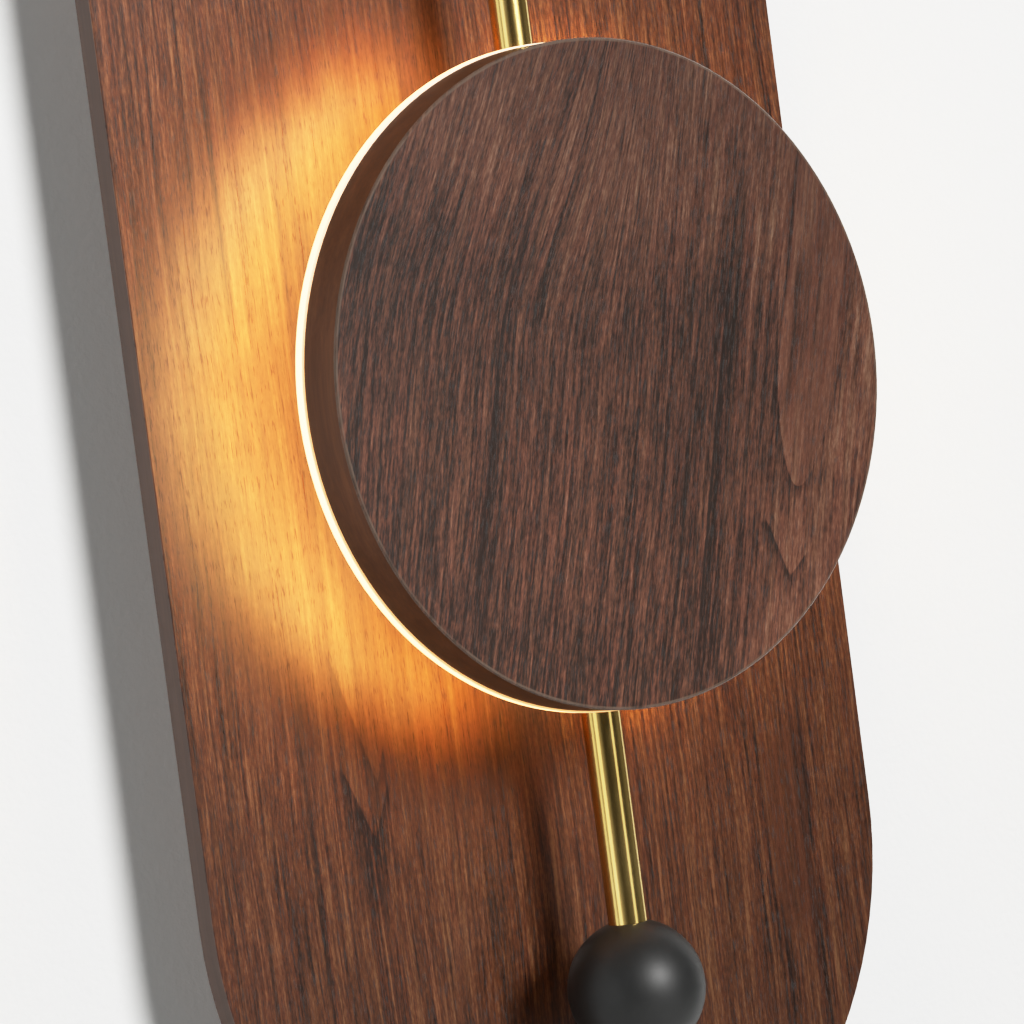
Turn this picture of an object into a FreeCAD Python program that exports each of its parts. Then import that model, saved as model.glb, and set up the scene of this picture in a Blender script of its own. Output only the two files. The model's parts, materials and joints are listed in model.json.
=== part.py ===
import FreeCAD, Part
import math
import os

# Wall lamp: upright walnut board with round ends, standing off the wall on a
# shallow rear box. A hollow stem through the board carries a brass cross rod
# with two black balls and, in front of it, a round walnut lamp head that
# shines back on to the board.
#
# Millimetres. Origin on the wall plane, behind the centre of the head and at
# the middle of the two wall screws. +Z is up, the lamp stands out along -Y.

V = FreeCAD.Vector

# ---------------------------------------------------------------- dimensions
# board
BOARD_HALF_W = 125.5        # half width, and radius of both round ends
BOARD_ARC_Z = 147.2         # height of the round ends' centres, above and below
BOARD_BACK_Y = -30.0        # the board's back stands 30 mm off the wall
BOARD_T = 8.0
VENEER_T = 0.6
EDGE_BAND_T = 0.8
STEM_HOLE_R = 5.2

# lamp head
HEAD_R = 100.0
HEAD_FRONT_Y = -101.2
HEAD_BACK_Y = -85.2         # back of the wood, front of the diffuser's rim
RIM_BAND_T = 0.6
RECESS_R = 88.0             # mouth of the recess in the wood
LEDGE_R = 80.0              # the plate lies on the ledge between these two
LEDGE_Y = -91.2
FLOOR_Y = -98.1
DIFFUSER_R = 100.5          # flat opal disc, 4.5 mm thick, 0.5 mm proud of the wood
DIFFUSER_BACK_Y = -80.7
PLATE_R = 87.5
PLATE_T = 1.5
LED_PCB_R = 79.5
LED_PCB_BORE = 40.0
LED_PCB_T = 1.2
CHIP_RING_R = 74.0
CHIPS_PER_SIDE = 15
CHIP_SPREAD_DEG = 84.0      # two fans of chips, one each side of the rod

# stem
NIPPLE_R = 4.98             # M10 x 1 hollow stem
NIPPLE_BORE = 3.5
NIPPLE_BACK_Y = -22.0
NIPPLE_FRONT_Y = -95.8
HUB_R = 14.0
HUB_BACK_Y = -62.7
HUB_FRONT_Y = -79.7
BOSS_R = 15.0
BUSH_BORE = 5.05            # 0.07 mm running clearance on the stem
BUSH_R = 7.0
STOP_RING_R = 11.0          # the stop pin's distance from the axis
STOP_PIN_R = 1.5
STOP_LUG_HALF_DEG = 8.0

# cross rod and balls
ROD_Y = -71.2
ROD_R = 6.0
ROD_IN_Z = 11.2
ROD_OUT_Z = 173.5
BALL_R = 21.0
BALL_Z = 185.6
STUD_R = 2.97

# rear box and wall bracket
BOX_HALF_X = 55.0
BOX_HALF_Z = 110.0
BOX_RIM_Y = -0.8
SHEET_T = 1.2
BRACKET_HALF_X = 53.4
BRACKET_HALF_Z = 22.0
BRACKET_T = 2.0
SLOT_X = 34.0               # wall screw slots, 68 mm apart
SLOT_LEN = 16.0
SLOT_W = 5.0
CABLE_ENTRY_R = 11.0
SIDE_SCREW_Y = -12.0

BOARD_FRONT_Y = BOARD_BACK_Y - BOARD_T
BOX_FRONT_IN_Y = BOARD_BACK_Y + SHEET_T

os.makedirs("parts", exist_ok=True)


# ------------------------------------------------------------------- helpers
def out(name, *shapes):
    """Write one node: each shape given is one closed solid of it."""
    solids = []
    for s in shapes:
        solids.extend(s.Solids)
    for s in solids:
        assert s.isValid() and s.Volume > 0, name
    shape = solids[0] if len(solids) == 1 else Part.makeCompound(solids)
    shape.exportStep("parts/" + name + ".step")
    b = shape.BoundBox
    print("%-20s %3d solid(s) %10.1f mm3  x %.1f..%.1f y %.1f..%.1f z %.1f..%.1f"
          % (name, len(solids), sum(s.Volume for s in solids),
             b.XMin, b.XMax, b.YMin, b.YMax, b.ZMin, b.ZMax))


def cy(r, y0, y1, x=0.0, z=0.0):
    return Part.makeCylinder(r, y1 - y0, V(x, y0, z), V(0, 1, 0))


def cz(r, z0, z1, x=0.0, y=0.0):
    return Part.makeCylinder(r, z1 - z0, V(x, y, z0), V(0, 0, 1))


def cx(r, x0, x1, y=0.0, z=0.0):
    return Part.makeCylinder(r, x1 - x0, V(x0, y, z), V(1, 0, 0))


def ring(ro, ri, y0, y1):
    return cy(ro, y0, y1).cut(cy(ri, y0 - 1, y1 + 1))


def block(x0, x1, y0, y1, z0, z1):
    return Part.makeBox(x1 - x0, y1 - y0, z1 - z0, V(x0, y0, z0))


def spin(points, axis_dir=V(0, 1, 0)):
    """Solid of revolution about Y from (radius, y) points."""
    pts = [V(r, y, 0) for r, y in points]
    pts.append(pts[0])
    face = Part.Face(Part.makePolygon(pts))
    return face.revolve(V(0, 0, 0), axis_dir, 360)


def stadium_wire(half_w, arc_z, y):
    a = V(-half_w, y, arc_z)
    b = V(half_w, y, arc_z)
    c = V(half_w, y, -arc_z)
    d = V(-half_w, y, -arc_z)
    top = Part.Arc(a, V(0, y, arc_z + half_w), b).toShape()
    bot = Part.Arc(c, V(0, y, -arc_z - half_w), d).toShape()
    return Part.Wire([top, Part.makeLine(b, c), bot, Part.makeLine(d, a)])


def stadium(half_w, arc_z, y0, y1):
    return Part.Face(stadium_wire(half_w, arc_z, y0)).extrude(V(0, y1 - y0, 0))


def rrect(x0, x1, z0, z1, r, y0, y1):
    """Round-cornered rectangle in XZ, from y0 to y1."""
    s = block(x0, x1, y0, y1, z0, z1)
    edges = [e for e in s.Edges if abs(e.BoundBox.YLength - (y1 - y0)) < 1e-6
             and e.BoundBox.XLength < 1e-6 and e.BoundBox.ZLength < 1e-6]
    return s.makeFillet(r, edges)


def slot_x(cxp, czp, length, width, y0, y1):
    """Slot along X, through from y0 to y1."""
    h = (length - width) / 2.0
    s = block(cxp - h, cxp + h, y0, y1, czp - width / 2.0, czp + width / 2.0)
    s = s.fuse(cy(width / 2.0, y0, y1, cxp - h, czp))
    s = s.fuse(cy(width / 2.0, y0, y1, cxp + h, czp))
    return s.removeSplitter()


def aim(shape, pos, direction):
    """Turn a shape built along +Z so that +Z points along direction, at pos."""
    s = shape.copy()
    s.Placement = FreeCAD.Placement(pos, FreeCAD.Rotation(V(0, 0, 1), direction))
    return s


def turned(shape, deg):
    """Turn about the Y axis through the origin."""
    s = shape.copy()
    s.rotate(V(0, 0, 0), V(0, 1, 0), deg)
    return s


def screw(kind, head_r, head_h, shank_r, length, pitch=1.0, tip=1.6):
    """A screw along Z, its bearing face (pan) or top face (flat) at z = 0.

    The head is on the +Z side and the shank runs down -Z. The thread is drawn
    as a row of turned grooves.
    """
    root = shank_r * 0.80
    pts = []
    if kind == "pan":
        pts += [(0, head_h), (head_r * 0.55, head_h * 0.97), (head_r * 0.84, head_h * 0.74),
                (head_r, head_h * 0.32), (head_r, 0), (shank_r, 0)]
        z = -0.6
    else:
        pts += [(0, 0), (head_r, 0), (head_r, -0.25), (shank_r, -head_h)]
        z = -head_h - 0.3
    pts.append((shank_r, z))
    while z - pitch > -(length - tip):
        pts.append((root, z - pitch * 0.45))
        pts.append((shank_r, z - pitch * 0.9))
        pts.append((shank_r, z - pitch))
        z -= pitch
    pts += [(root, -(length - tip)), (0, -length)]
    poly = [V(r, 0, zz) for r, zz in pts]
    poly.append(poly[0])
    s = Part.Face(Part.makePolygon(poly)).revolve(V(0, 0, 0), V(0, 0, 1), 360)
    top = head_h if kind == "pan" else 0.0
    w = head_r * 0.26
    arm = head_r * 0.62
    deep = min(1.0, head_h * 0.62)
    for a, b in ((arm, w / 2), (w / 2, arm)):
        s = s.cut(Part.makeBox(2 * a, 2 * b, deep + 1, V(-a, -b, top - deep)))
    return s


def hex_nut(af, bore, y0, y1):
    r = af / math.sqrt(3)
    pts = [V(r * math.cos(math.radians(60 * i)), y0, r * math.sin(math.radians(60 * i)))
           for i in range(7)]
    s = Part.Face(Part.makePolygon(pts)).extrude(V(0, y1 - y0, 0))
    c = (r - af / 2.0) * 0.6
    rr = r + 0.01
    dome = spin([(0, y0), (rr - c, y0), (rr, y0 + c * 0.5), (rr, y1 - c * 0.5), (rr - c, y1), (0, y1)])
    return s.common(dome).cut(cy(bore, y0 - 1, y1 + 1))


def threaded(r, bore, y0, y1, spans, pitch=1.0, depth=0.45):
    """Hollow stem along Y with turned grooves over the given (y0, y1) spans."""
    pts = [(bore, y0), (r - 0.4, y0), (r, y0 + 0.4)]
    for a, b in spans:
        n = int((b - a) / pitch)
        for i in range(n):
            s = a + i * pitch
            pts += [(r, s + 0.02), (r - depth, s + 0.5 * pitch), (r, s + pitch - 0.02)]
    pts += [(r, y1 - 0.4), (r - 0.4, y1), (bore, y1)]
    return spin(pts)


def stud(z0, z1, y, r=STUD_R):
    """Headless threaded stud along Z at x = 0, with a hexagon socket in one end."""
    n = int((z1 - z0 - 1.2) / 1.0)
    pts = [(0, z0), (r - 0.5, z0), (r, z0 + 0.5)]
    s = z0 + 0.6
    for i in range(n):
        pts += [(r, s + 0.02), (r - 0.4, s + 0.5), (r, s + 0.98)]
        s += 1.0
    pts += [(r, z1 - 0.5), (r - 0.5, z1), (0, z1)]
    poly = [V(a, 0, b) for a, b in pts]
    poly.append(poly[0])
    body = Part.Face(Part.makePolygon(poly)).revolve(V(0, 0, 0), V(0, 0, 1), 360)
    body.translate(V(0, y, 0))
    return body


def lead(points, r, radii):
    """A round wire on straight runs joined by tangent arcs."""
    edges = []
    start = V(*points[0])
    length = 0.0
    for i in range(1, len(points) - 1):
        p = V(*points[i])
        a = (V(*points[i - 1]) - p).normalize()
        b = (V(*points[i + 1]) - p).normalize()
        turn = math.pi - a.getAngle(b)
        rad = radii[i - 1]
        t = rad * math.tan(turn / 2.0)
        t0 = p + a * t
        t1 = p + b * t
        bis = (a + b).normalize()
        mid = p + bis * (rad / math.cos(turn / 2.0) - rad)
        edges.append(Part.LineSegment(start, t0).toShape())
        edges.append(Part.Arc(t0, mid, t1).toShape())
        length += (t0 - start).Length + rad * turn
        start = t1
    end = V(*points[-1])
    edges.append(Part.LineSegment(start, end).toShape())
    length += (end - start).Length
    path = Part.Wire(edges)
    first = (V(*points[1]) - V(*points[0])).normalize()
    prof = Part.Wire([Part.Circle(V(*points[0]), first, r).toShape()])
    solid = path.makePipeShell([prof], True, False)
    want = math.pi * r * r * length
    print("   lead length %.1f, volume %.2f, section x length %.2f, radii %s"
          % (length, solid.Volume, want, radii))
    assert abs(solid.Volume - want) < 0.02 * want
    return solid


def edge_at(shape, test):
    return [e for e in shape.Edges if test(e)]


def on_y(e, y):
    return e.BoundBox.YLength < 1e-6 and abs(e.BoundBox.YMin - y) < 1e-6


# ---------------------------------------------------------------- hole lists
BOARD_SCREWS = [(x, z) for x in (-42.0, 42.0) for z in (-95.0, 95.0)]
DRIVER_SCREWS = [(-43.5, 65.0), (43.5, 65.0)]
TERMINAL_SCREWS = [(-20.5, -61.0), (20.5, -61.0)]
EARTH_SCREW = (34.0, -90.0)
WOOD_SCREW_R = 1.45
WOOD_HOLE_R = 1.5
BACK_HOLES = BOARD_SCREWS + DRIVER_SCREWS + TERMINAL_SCREWS
PLATE_SCREW_R = 83.0
PLATE_SCREW_DEG = [30 + 60 * i for i in range(6)]
DIFFUSER_SCREW_R = 94.0
DIFFUSER_SCREW_DEG = [45, 135, 225, 315]
BOSS_SCREW_R = 11.2
BOSS_SCREW_DEG = [90, 210, 330]
PCB_SCREW_R = 60.0
PCB_SCREW_DEG = [60, 120, 240, 300]


def polar(r, deg):
    return r * math.cos(math.radians(deg)), r * math.sin(math.radians(deg))


# -------------------------------------------------------------- wall bracket
bracket = rrect(-BRACKET_HALF_X, BRACKET_HALF_X, -BRACKET_HALF_Z, BRACKET_HALF_Z, 3.0,
                -BRACKET_T, 0.0)
for sx in (-1, 1):
    x0, x1 = sorted((sx * (BRACKET_HALF_X - BRACKET_T), sx * BRACKET_HALF_X))
    tab = block(x0, x1, -20.0, 0.0, -10.0, 10.0)
    e = [k for k in tab.Edges if abs(k.BoundBox.XLength - BRACKET_T) < 1e-6
         and abs(k.BoundBox.YMin + 20.0) < 1e-6 and k.BoundBox.YLength < 1e-6]
    tab = tab.makeFillet(3.0, e)
    # relief notches beside the folded tab
    for z0 in (-12.0, 10.0):
        bracket = bracket.cut(block(x0 - 2, x1 + 2, -BRACKET_T - 1, 1, z0, z0 + 2.0))
    bracket = bracket.fuse(tab)
bracket = bracket.removeSplitter()
bracket = bracket.cut(cy(CABLE_ENTRY_R, -BRACKET_T - 1, 1))
for sx in (-1, 1):
    bracket = bracket.cut(slot_x(sx * SLOT_X, 0.0, SLOT_LEN, SLOT_W, -BRACKET_T - 1, 1))
    bracket = bracket.cut(cx(2.0, sx * BRACKET_HALF_X - 4, sx * BRACKET_HALF_X + 4, SIDE_SCREW_Y, 0.0))
out("wall_bracket", bracket)

# ------------------------------------------------------------------ rear box
# a folded channel: front wall and two long sides, closed by two end plates
box = block(-BOX_HALF_X, BOX_HALF_X, BOARD_BACK_Y, BOX_RIM_Y, -BOX_HALF_Z, BOX_HALF_Z)
bends = [e for e in box.Edges if abs(e.BoundBox.ZLength - 2 * BOX_HALF_Z) < 1e-6
         and abs(e.BoundBox.YMin - BOARD_BACK_Y) < 1e-6]
box = box.makeFillet(1.6, bends)
box_in = block(-BOX_HALF_X + SHEET_T, BOX_HALF_X - SHEET_T, BOX_FRONT_IN_Y, 5.0,
               -BOX_HALF_Z - 1, BOX_HALF_Z + 1)
box_in = box_in.makeFillet(0.4, [e for e in box_in.Edges if e.BoundBox.ZLength > 200
                                 and abs(e.BoundBox.YMin - BOX_FRONT_IN_Y) < 1e-6])
box = box.cut(box_in)
box = box.cut(cy(STEM_HOLE_R, BOARD_BACK_Y - 1, BOX_FRONT_IN_Y + 1))
for x, z in BACK_HOLES:
    box = box.cut(cy(1.8, BOARD_BACK_Y - 1, BOX_FRONT_IN_Y + 1, x, z))
box = box.cut(cy(2.0, BOARD_BACK_Y - 1, BOX_FRONT_IN_Y + 1, *EARTH_SCREW))
for sx in (-1, 1):
    box = box.cut(cx(2.3, sx * BOX_HALF_X - 4, sx * BOX_HALF_X + 4, SIDE_SCREW_Y, 0.0))
out("rear_box", box)

ends = []
for sz in (-1, 1):
    z0, z1 = sorted((sz * (BOX_HALF_Z - SHEET_T), sz * BOX_HALF_Z))
    plate_e = block(-BOX_HALF_X + SHEET_T + 0.45, BOX_HALF_X - SHEET_T - 0.45, BOX_FRONT_IN_Y, BOX_RIM_Y, z0, z1)
    z0, z1 = sorted((sz * (BOX_HALF_Z - 9.0), sz * BOX_HALF_Z))
    flange = block(-50.0, 50.0, BOX_FRONT_IN_Y, BOX_FRONT_IN_Y + SHEET_T, z0, z1)
    flange = flange.makeFillet(3.0, [e for e in flange.Edges if e.BoundBox.XLength < 1e-6
                                     and e.BoundBox.ZLength < 1e-6
                                     and abs(abs(e.BoundBox.ZMin) - (BOX_HALF_Z - 9.0)) < 1e-6])
    e_s = plate_e.fuse(flange).removeSplitter()
    corner = [e for e in e_s.Edges if e.BoundBox.XLength > 90 and abs(e.BoundBox.YMin - BOX_FRONT_IN_Y) < 1e-6
              and abs(abs(e.BoundBox.ZMin) - BOX_HALF_Z) < 1e-6 and e.BoundBox.YLength < 1e-6]
    ends.append(e_s.makeFillet(1.0, corner))
out("rear_box_ends", *ends)

side_screw = screw("pan", 4.2, 2.6, 1.95, 8.0, pitch=0.7, tip=0.6)
out("box_side_screws",
    aim(side_screw, V(BOX_HALF_X, SIDE_SCREW_Y, 0), V(1, 0, 0)),
    aim(side_screw, V(-BOX_HALF_X, SIDE_SCREW_Y, 0), V(-1, 0, 0)))

wood_screw = screw("pan", 3.1, 2.2, WOOD_SCREW_R, 7.2, pitch=1.1)
out("board_screws", *[aim(wood_screw, V(x, BOX_FRONT_IN_Y, z), V(0, 1, 0)) for x, z in BOARD_SCREWS])

# -------------------------------------------------------- driver, terminals
drv = rrect(-40, 40, 48, 82, 3.0, BOX_FRONT_IN_Y, -8.0)
drv = drv.makeFillet(1.5, edge_at(drv, lambda e: on_y(e, -8.0)))
lid_line = rrect(-39.4, 39.4, 48.6, 81.4, 2.4, -12.0, -11.4)
frame_cut = rrect(-41, 41, 47, 83, 3.0, -12.0, -11.4).cut(lid_line)
drv = drv.cut(frame_cut)
for sx in (-1, 1):
    x0, x1 = sorted((sx * 39.0, sx * 48.0))
    ear = rrect(x0, x1, 60, 70, 2.0, BOX_FRONT_IN_Y, BOX_FRONT_IN_Y + 2.0)
    drv = drv.fuse(ear)
drv = drv.removeSplitter()
for x, z in DRIVER_SCREWS:
    drv = drv.cut(cy(1.7, -31, -20, x, z))
for z in (54.0, 58.0):
    drv = drv.cut(cx(1.0, -41, -36.0, -19.0, z))
drv = drv.cut(cx(2.2, 34.0, 41, -16.0, 58.0))
out("led_driver", drv)
ear_screw = screw("pan", 2.9, 2.0, WOOD_SCREW_R, 9.0, pitch=1.1)
out("driver_screws", *[aim(ear_screw, V(x, BOX_FRONT_IN_Y + 2.0, z), V(0, 1, 0)) for x, z in DRIVER_SCREWS])

TB_Y1 = -14.8
tb = rrect(-16, 16, -70, -52, 1.0, BOX_FRONT_IN_Y, TB_Y1)
for i in (-1, 0, 1):
    # each pole stands up a little over the base, with a wire way through it
    tb = tb.cut(cz(2.4, -71, -51, i * 10.0, -19.0))
    for z in (-66.0, -56.0):
        tb = tb.cut(cy(2.3, -19.0, -10, i * 10.0, z))
for x in (-5.0, 5.0):
    tb = tb.cut(block(x - 0.9, x + 0.9, -17.4, -10, -71, -51))
for sx in (-1, 1):
    x0, x1 = sorted((sx * 15.0, sx * 24.0))
    tb = tb.fuse(rrect(x0, x1, -65, -57, 2.0, BOX_FRONT_IN_Y, BOX_FRONT_IN_Y + 3.0))
tb = tb.removeSplitter()
for x, z in TERMINAL_SCREWS:
    tb = tb.cut(cy(1.7, -31, -20, x, z))
out("terminal_block", tb)
clamps = []
clamp_screws = []
for i in (-1, 0, 1):
    c = cz(2.38, -69.0, -53.0, i * 10.0, -19.0).cut(cz(1.5, -71, -51, i * 10.0, -19.0))
    for z in (-66.0, -56.0):
        c = c.cut(cy(1.45, -19.0, -10, i * 10.0, z))
        s = cy(1.4, -17.95, -15.6, i * 10.0, z)
        s = s.cut(block(i * 10.0 - 2, i * 10.0 + 2, -16.3, -15, z - 0.3, z + 0.3))
        clamp_screws.append(s)
    clamps.append(c)
out("terminal_clamps", *clamps)
out("terminal_clamp_screws", *clamp_screws)
tb_screw = screw("pan", 2.9, 2.0, WOOD_SCREW_R, 9.6, pitch=1.1)
out("terminal_screws", *[aim(tb_screw, V(x, BOX_FRONT_IN_Y + 3.0, z), V(0, 1, 0)) for x, z in TERMINAL_SCREWS])

# earth: ring terminal under a screw in the box's front wall
ex, ez = EARTH_SCREW
tag = cy(4.2, BOX_FRONT_IN_Y, BOX_FRONT_IN_Y + 0.8, ex, ez)
tag = tag.fuse(block(ex - 1.6, ex + 1.6, BOX_FRONT_IN_Y, BOX_FRONT_IN_Y + 0.8, ez + 2, ez + 8.0))
barrel = cz(1.75, ez + 7.0, ez + 13.0, ex, BOX_FRONT_IN_Y + 1.8).cut(
    cz(0.95, ez + 6.0, ez + 14.0, ex, BOX_FRONT_IN_Y + 1.8))
tag = tag.fuse(barrel)
tag = tag.removeSplitter().cut(cy(2.1, -31, -20, ex, ez))
out("earth_tag", tag)
earth = screw("pan", 3.8, 2.4, 1.95, 1.95, pitch=0.5, tip=0.3)
out("earth_screw", aim(earth, V(ex, BOX_FRONT_IN_Y + 0.8, ez), V(0, 1, 0)))

# ------------------------------------------------------------ internal leads
out("mains_leads",
    lead([(-36.5, -19, 58), (-45.8, -19, 58), (-45.8, -19, -41), (-10, -19, -41), (-10, -19, -56)],
         0.95, [4.5, 5.0, 5.0]),
    lead([(-36.5, -19, 54), (-42.6, -19, 54), (-42.6, -19, -36.5), (0, -19, -36.5), (0, -19, -56)],
         0.95, [2.4, 5.0, 5.0]))
out("earth_lead",
    lead([(10, -19, -56), (10, -19, -42), (34, -19, -42), (34, -27.0, -66), (34, -27.0, -82.5)],
         0.9, [5.0, 5.0, 12.0]))
out("led_cable",
    lead([(34.5, -16, 58), (44.4, -16, 58), (44.4, -10.5, 2.0), (30, -10.5, 0), (0, -10.5, 0),
          (0, NIPPLE_FRONT_Y, 0)], 2.1, [4.6, 8.0, 10.0, 8.0]))

# --------------------------------------------------------------------- board
core = stadium(BOARD_HALF_W - EDGE_BAND_T, BOARD_ARC_Z, BOARD_FRONT_Y + VENEER_T, BOARD_BACK_Y - VENEER_T)
back = stadium(BOARD_HALF_W - EDGE_BAND_T, BOARD_ARC_Z, BOARD_BACK_Y - VENEER_T, BOARD_BACK_Y)
face = stadium(BOARD_HALF_W, BOARD_ARC_Z, BOARD_FRONT_Y, BOARD_FRONT_Y + VENEER_T)
face = face.makeChamfer(0.25, edge_at(face, lambda e: on_y(e, BOARD_FRONT_Y)))
band = stadium(BOARD_HALF_W, BOARD_ARC_Z, BOARD_FRONT_Y + VENEER_T, BOARD_BACK_Y).cut(
    stadium(BOARD_HALF_W - EDGE_BAND_T, BOARD_ARC_Z, BOARD_FRONT_Y - 1, BOARD_BACK_Y + 1))
stem_hole = cy(STEM_HOLE_R, -60, 0)
core = core.cut(stem_hole)
back = back.cut(stem_hole)
face = face.cut(stem_hole)
for x, z in BACK_HOLES:
    core = core.cut(cy(WOOD_HOLE_R, -36.6, -29, x, z))
    back = back.cut(cy(WOOD_HOLE_R, -36.6, -29, x, z))
out("board_core", core)
out("board_back_veneer", back)
out("board_face_veneer", face)
out("board_edge_band", band)

# ---------------------------------------------------------------------- stem
out("stem_nipple", threaded(NIPPLE_R, NIPPLE_BORE, NIPPLE_FRONT_Y, NIPPLE_BACK_Y,
                            [(-95.3, -92.1), (-79.0, -63.0), (-36.0, -22.6)]))
out("stem_back_washer", ring(9.0, 5.1, BOX_FRONT_IN_Y, BOX_FRONT_IN_Y + 0.8))
out("stem_back_nut", hex_nut(14.0, 5.0, BOX_FRONT_IN_Y + 0.8, BOX_FRONT_IN_Y + 3.8))
out("cable_bush", spin([(2.3, -24.5), (3.4, -24.5), (3.4, -22.0), (5.6, -22.0), (5.6, -21.2),
                        (5.0, -20.6), (2.9, -20.6), (2.3, -21.2)]))
fw = spin([(5.2, BOARD_FRONT_Y), (13.0, BOARD_FRONT_Y), (13.0, BOARD_FRONT_Y - 0.9),
           (12.4, BOARD_FRONT_Y - 1.5), (5.2, BOARD_FRONT_Y - 1.5)])
out("stem_front_washer", fw)
out("stem_spacer", spin([(5.2, BOARD_FRONT_Y - 1.5), (7.6, BOARD_FRONT_Y - 1.5), (8.0, BOARD_FRONT_Y - 1.9),
                         (8.0, HUB_BACK_Y + 0.4), (7.6, HUB_BACK_Y), (5.2, HUB_BACK_Y)]))

# ----------------------------------------------------- rod hub, rods, balls
c = 0.8
hub = spin([(0, HUB_BACK_Y), (HUB_R - c, HUB_BACK_Y), (HUB_R, HUB_BACK_Y - c),
            (HUB_R, HUB_FRONT_Y + c), (HUB_R - c, HUB_FRONT_Y), (0, HUB_FRONT_Y)])
hub = hub.cut(cy(5.0, -90, -50))
for s in (-1, 1):
    z0, z1 = sorted((s * 11.0, s * 20.0))
    hub = hub.cut(cz(ROD_R + 0.03, z0, z1, 0, ROD_Y))
    z0, z1 = sorted((s * 6.3, s * 12.0))
    hub = hub.cut(cz(3.0, z0, z1, 0, ROD_Y))
hub = hub.cut(cy(STOP_PIN_R, -90, -77.2, STOP_RING_R, 0))
out("rod_hub", hub)
pin = spin([(0, -82.4), (STOP_PIN_R - 0.41, -82.4), (STOP_PIN_R - 0.01, -82.0), (STOP_PIN_R - 0.01, -77.25),
            (0, -77.25)])
pin.translate(V(STOP_RING_R, 0, 0))
out("stop_pin", pin)

for s, rod_name, ball_name in ((1, "upper_rod", "upper_ball"), (-1, "lower_rod", "lower_ball")):
    z0, z1 = sorted((s * ROD_IN_Z, s * ROD_OUT_Z))
    rod = cz(ROD_R, z0, z1, 0, ROD_Y)
    rod = rod.makeChamfer(0.4, [e for e in rod.Edges if e.BoundBox.ZLength < 1e-6])
    for a, b in ((ROD_IN_Z - 1, 22.5), (162.5, ROD_OUT_Z + 1)):
        q0, q1 = sorted((s * a, s * b))
        rod = rod.cut(cz(3.0, q0, q1, 0, ROD_Y))
    out(rod_name, rod)
    ball = Part.makeSphere(BALL_R, V(0, ROD_Y, s * BALL_Z))
    q0, q1 = sorted((s * (BALL_Z - BALL_R - 5), s * (ROD_OUT_Z + 0.1)))
    ball = ball.cut(cz(ROD_R + 0.08, q0, q1, 0, ROD_Y))
    q0, q1 = sorted((s * ROD_OUT_Z, s * 185.0))
    ball = ball.cut(cz(3.0, q0, q1, 0, ROD_Y))
    out(ball_name, ball)
out("hub_studs", stud(6.5, 21.5, ROD_Y), stud(-21.5, -6.5, ROD_Y))
out("ball_studs", stud(163.4, 184.0, ROD_Y), stud(-184.0, -163.4, ROD_Y))

# -------------------------------------------------------------- head: swivel
out("thrust_washer", ring(8.6, 5.1, DIFFUSER_BACK_Y, HUB_FRONT_Y))
plate_back_y = LEDGE_Y + PLATE_T
boss = spin([(0, DIFFUSER_BACK_Y), (BOSS_R - 0.5, DIFFUSER_BACK_Y), (BOSS_R, DIFFUSER_BACK_Y - 0.5),
             (BOSS_R, plate_back_y), (0, plate_back_y)])
boss = boss.cut(cy(BUSH_R, -95, -75))
groove = ring(STOP_RING_R + 1.8, STOP_RING_R - 1.8, DIFFUSER_BACK_Y - 2.2, DIFFUSER_BACK_Y + 1)
lug_pts = [V(0, -90, 0), V(-40, -90, 40 * math.tan(math.radians(STOP_LUG_HALF_DEG))),
           V(-40, -90, -40 * math.tan(math.radians(STOP_LUG_HALF_DEG))), V(0, -90, 0)]
lug = Part.Face(Part.makePolygon(lug_pts)).extrude(V(0, 20, 0))
boss = boss.cut(groove.cut(lug))
for d in BOSS_SCREW_DEG:
    x, z = polar(BOSS_SCREW_R, d)
    boss = boss.cut(cy(1.5, plate_back_y - 1, -85.4, x, z))
out("swivel_boss", boss)
out("swivel_bush", spin([(BUSH_BORE, DIFFUSER_BACK_Y), (BUSH_R - 0.02, DIFFUSER_BACK_Y),
                         (BUSH_R - 0.02, LEDGE_Y), (8.8, LEDGE_Y), (8.8, LEDGE_Y - 0.8),
                         (BUSH_BORE, LEDGE_Y - 0.8)]))
fr = spin([(5.1, -92.0), (8.2, -92.0), (8.2, -92.5), (5.8, -92.8), (5.1, -92.8)])
out("friction_washer", fr)
out("swivel_nut", hex_nut(14.0, 5.0, -95.3, -92.8))

# --------------------------------------------------------------- head: plate
plate = cy(PLATE_R, LEDGE_Y, plate_back_y).cut(cy(BUSH_R + 0.02, -95, -80))
for d in PLATE_SCREW_DEG:
    plate = plate.cut(cy(1.6, -95, -80, *polar(PLATE_SCREW_R, d)))
for d in PCB_SCREW_DEG:
    plate = plate.cut(cy(1.25, -95, -80, *polar(PCB_SCREW_R, d)))
for d in BOSS_SCREW_DEG:
    x, z = polar(BOSS_SCREW_R, d)
    plate = plate.cut(cy(2.9, LEDGE_Y - 1, LEDGE_Y + 0.3, x, z))
    plate = plate.cut(Part.makeCone(2.9, 1.55, 1.2, V(x, LEDGE_Y + 0.3, z), V(0, 1, 0)))
    plate = plate.cut(cy(1.52, -95, -80, x, z))
plate = plate.cut(cy(3.0, -95, -80, 0, 30.0))
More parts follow.
